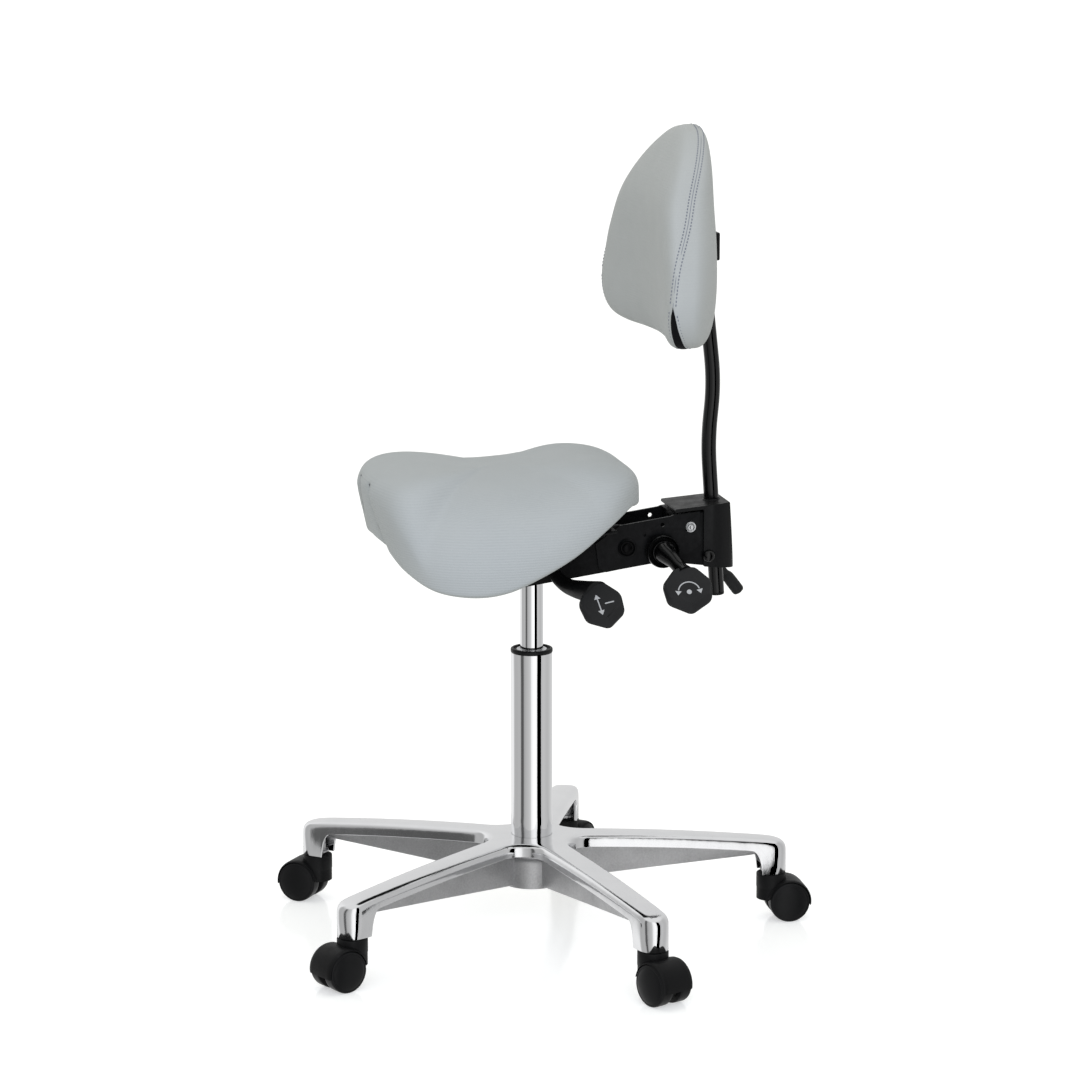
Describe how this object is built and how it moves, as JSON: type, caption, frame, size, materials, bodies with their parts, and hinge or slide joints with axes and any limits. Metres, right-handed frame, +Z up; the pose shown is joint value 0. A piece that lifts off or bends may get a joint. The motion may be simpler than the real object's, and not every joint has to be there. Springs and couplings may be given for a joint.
{
  "type": "saddle stool with backrest",
  "caption": "Swivel saddle stool with a wrap-round backrest on a bent tube, a two-lever tilt mechanism, a gas lift and a five-arm caster base.",
  "frame": {"origin": "middle of the footprint, on the floor", "axes": "+Z up, -Y towards the front of the seat, +X to the seated person's left"},
  "size_m": [0.6769, 0.6528, 0.9852],
  "materials": {
    "polished_aluminium": "polished top faces, duller cast ribs below",
    "chrome": "bright chrome plate",
    "zinc_steel": "zinc-plated turned steel",
    "black_plastic": "black moulded plastic with a fine grain",
    "black_steel": "black powder coat",
    "black_tube": "semi-gloss black paint on steel tube",
    "grey_upholstery": "light grey cover with fine horizontal ribs over foam",
    "plywood": "plain plywood"
  },
  "bodies": {
    "base": {"star_base": "polished_aluminium", "column_tube": "chrome", "guide_bush": "black_plastic", "column_collar": "black_plastic", "thrust_bearing": "zinc_steel", "caster_1_stem": "zinc_steel", "caster_2_stem": "zinc_steel", "caster_3_stem": "zinc_steel", "caster_4_stem": "zinc_steel", "caster_5_stem": "zinc_steel"},
    "swivel": {"piston_rod": "zinc_steel"},
    "lift": {"gas_cylinder": "chrome", "gas_socket": "black_steel", "main_frame": "black_steel", "back_pivot_pin": "black_steel", "tilt_clamp_bolt": "zinc_steel", "seat_plate": "black_steel", "seat_bolt_1": "zinc_steel", "seat_bolt_2": "zinc_steel", "seat_bolt_3": "zinc_steel", "seat_bolt_4": "zinc_steel", "seat_shell": "black_plastic", "seat_cushion": "grey_upholstery"},
    "height_lever": {"height_lever_arm": "black_plastic", "height_lever_paddle": "black_plastic"},
    "release_button": {"release_button": "black_plastic"},
    "tilt_lever": {"tilt_lever_collar": "black_plastic", "tilt_lever_arm": "black_plastic", "tilt_lever_paddle": "black_plastic"},
    "back": {"back_carrier": "black_steel", "rear_cover": "black_plastic", "rear_bolt": "zinc_steel", "cover_screw_cap": "black_plastic"},
    "clamp_lever": {"clamp_lever": "black_plastic"},
    "backrest": {"upright_tube": "black_tube", "tube_end_cap": "black_plastic", "pad_bracket": "black_plastic", "pad_board": "plywood", "pad_front_cushion": "grey_upholstery", "pad_rear_cushion": "grey_upholstery"},
    "caster_1": {"caster_1_housing": "black_plastic", "caster_1_axle": "zinc_steel"},
    "caster_1_left": {"caster_1_wheel_left": "black_plastic"},
    "caster_1_right": {"caster_1_wheel_right": "black_plastic"},
    "caster_2": {"caster_2_housing": "black_plastic", "caster_2_axle": "zinc_steel"},
    "caster_2_left": {"caster_2_wheel_left": "black_plastic"},
    "caster_2_right": {"caster_2_wheel_right": "black_plastic"},
    "caster_3": {"caster_3_housing": "black_plastic", "caster_3_axle": "zinc_steel"},
    "caster_3_left": {"caster_3_wheel_left": "black_plastic"},
    "caster_3_right": {"caster_3_wheel_right": "black_plastic"},
    "caster_4": {"caster_4_housing": "black_plastic", "caster_4_axle": "zinc_steel"},
    "caster_4_left": {"caster_4_wheel_left": "black_plastic"},
    "caster_4_right": {"caster_4_wheel_right": "black_plastic"},
    "caster_5": {"caster_5_housing": "black_plastic", "caster_5_axle": "zinc_steel"},
    "caster_5_left": {"caster_5_wheel_left": "black_plastic"},
    "caster_5_right": {"caster_5_wheel_right": "black_plastic"}
  },
  "joints": [
    {"name": "seat_swivel", "type": "hinge", "parent": "base", "child": "swivel", "pos_m": [-0.004, -0.0225, 0.1], "axis": [0, 0, 1], "continuous": true},
    {"name": "seat_height", "type": "slide", "parent": "swivel", "child": "lift", "axis": [0, 0, 1], "range_m": [-0.065, 0.1]},
    {"name": "height_lever_raise", "type": "hinge", "parent": "lift", "child": "height_lever", "pos_m": [0.03, -0.0089, 0.472], "axis": [0.3714, -0.9285, 0], "range_deg": [0, 7], "stiffness_Nm_per_rad": 1, "springref_deg": -5.73},
    {"name": "release_button_press", "type": "slide", "parent": "lift", "child": "release_button", "axis": [0, 0, -1], "range_m": [0, 0.0053]},
    {"name": "tilt_lever_turn", "type": "hinge", "parent": "lift", "child": "tilt_lever", "pos_m": [0.0325, 0.12949, 0.47795], "axis": [1, 0, 0], "range_deg": [0, 30]},
    {"name": "back_tilt", "type": "hinge", "parent": "lift", "child": "back", "pos_m": [-0.004, 0.08766, 0.48167], "axis": [1, 0, 0], "range_deg": [-15, 5]},
    {"name": "clamp_lever_turn", "type": "hinge", "parent": "back", "child": "clamp_lever", "pos_m": [-0.041, 0.2065, 0.461], "axis": [1, 0, 0], "range_deg": [0, 70]},
    {"name": "backrest_height", "type": "slide", "parent": "back", "child": "backrest", "axis": [0, -0.0688, 0.9976], "range_m": [-0.045, 0.03]},
    {"name": "caster_1_swivel", "type": "hinge", "parent": "base", "child": "caster_1", "pos_m": [0.00777, 0.27827, 0.05], "axis": [0, 0, 1], "continuous": true},
    {"name": "caster_1_left_spin", "type": "hinge", "parent": "caster_1", "child": "caster_1_left", "pos_m": [0.00855, 0.29825, 0.025], "axis": [-0.9992, 0.0391, 0], "continuous": true},
    {"name": "caster_1_right_spin", "type": "hinge", "parent": "caster_1", "child": "caster_1_right", "pos_m": [0.00855, 0.29825, 0.025], "axis": [-0.9992, 0.0391, 0], "continuous": true},
    {"name": "caster_2_swivel", "type": "hinge", "parent": "base", "child": "caster_2", "pos_m": [-0.28641, 0.08163, 0.05], "axis": [0, 0, 1], "continuous": true},
    {"name": "caster_2_left_spin", "type": "hinge", "parent": "caster_2", "child": "caster_2_left", "pos_m": [-0.30168, 0.09455, 0.025], "axis": [-0.646, -0.7633, 0], "continuous": true},
    {"name": "caster_2_right_spin", "type": "hinge", "parent": "caster_2", "child": "caster_2_right", "pos_m": [-0.30168, 0.09455, 0.025], "axis": [-0.646, -0.7633, 0], "continuous": true},
    {"name": "caster_3_swivel", "type": "hinge", "parent": "base", "child": "caster_3", "pos_m": [-0.19031, -0.25891, 0.05], "axis": [0, 0, 1], "continuous": true},
    {"name": "caster_3_left_spin", "type": "hinge", "parent": "caster_3", "child": "caster_3_left", "pos_m": [-0.20213, -0.27504, 0.025], "axis": [0.8065, -0.5912, 0], "continuous": true},
    {"name": "caster_3_right_spin", "type": "hinge", "parent": "caster_3", "child": "caster_3_right", "pos_m": [-0.20213, -0.27504, 0.025], "axis": [0.8065, -0.5912, 0], "continuous": true},
    {"name": "caster_4_swivel", "type": "hinge", "parent": "base", "child": "caster_4", "pos_m": [0.16327, -0.27274, 0.05], "axis": [0, 0, 1], "continuous": true},
    {"name": "caster_4_left_spin", "type": "hinge", "parent": "caster_4", "child": "caster_4_left", "pos_m": [0.17196, -0.29076, 0.025], "axis": [0.9006, 0.4346, 0], "continuous": true},
    {"name": "caster_4_right_spin", "type": "hinge", "parent": "caster_4", "child": "caster_4_right", "pos_m": [0.17196, -0.29076, 0.025], "axis": [0.9006, 0.4346, 0], "continuous": true},
    {"name": "caster_5_swivel", "type": "hinge", "parent": "base", "child": "caster_5", "pos_m": [0.28569, 0.05925, 0.05], "axis": [0, 0, 1], "continuous": true},
    {"name": "caster_5_left_spin", "type": "hinge", "parent": "caster_5", "child": "caster_5_left", "pos_m": [0.3037, 0.06795, 0.025], "axis": [-0.4346, 0.9006, 0], "continuous": true},
    {"name": "caster_5_right_spin", "type": "hinge", "parent": "caster_5", "child": "caster_5_right", "pos_m": [0.3037, 0.06795, 0.025], "axis": [-0.4346, 0.9006, 0], "continuous": true}
  ],
  "couplings": [
    {"joint": "release_button_press", "follows": "height_lever_raise", "m_per_rad": 0.041}
  ]
}
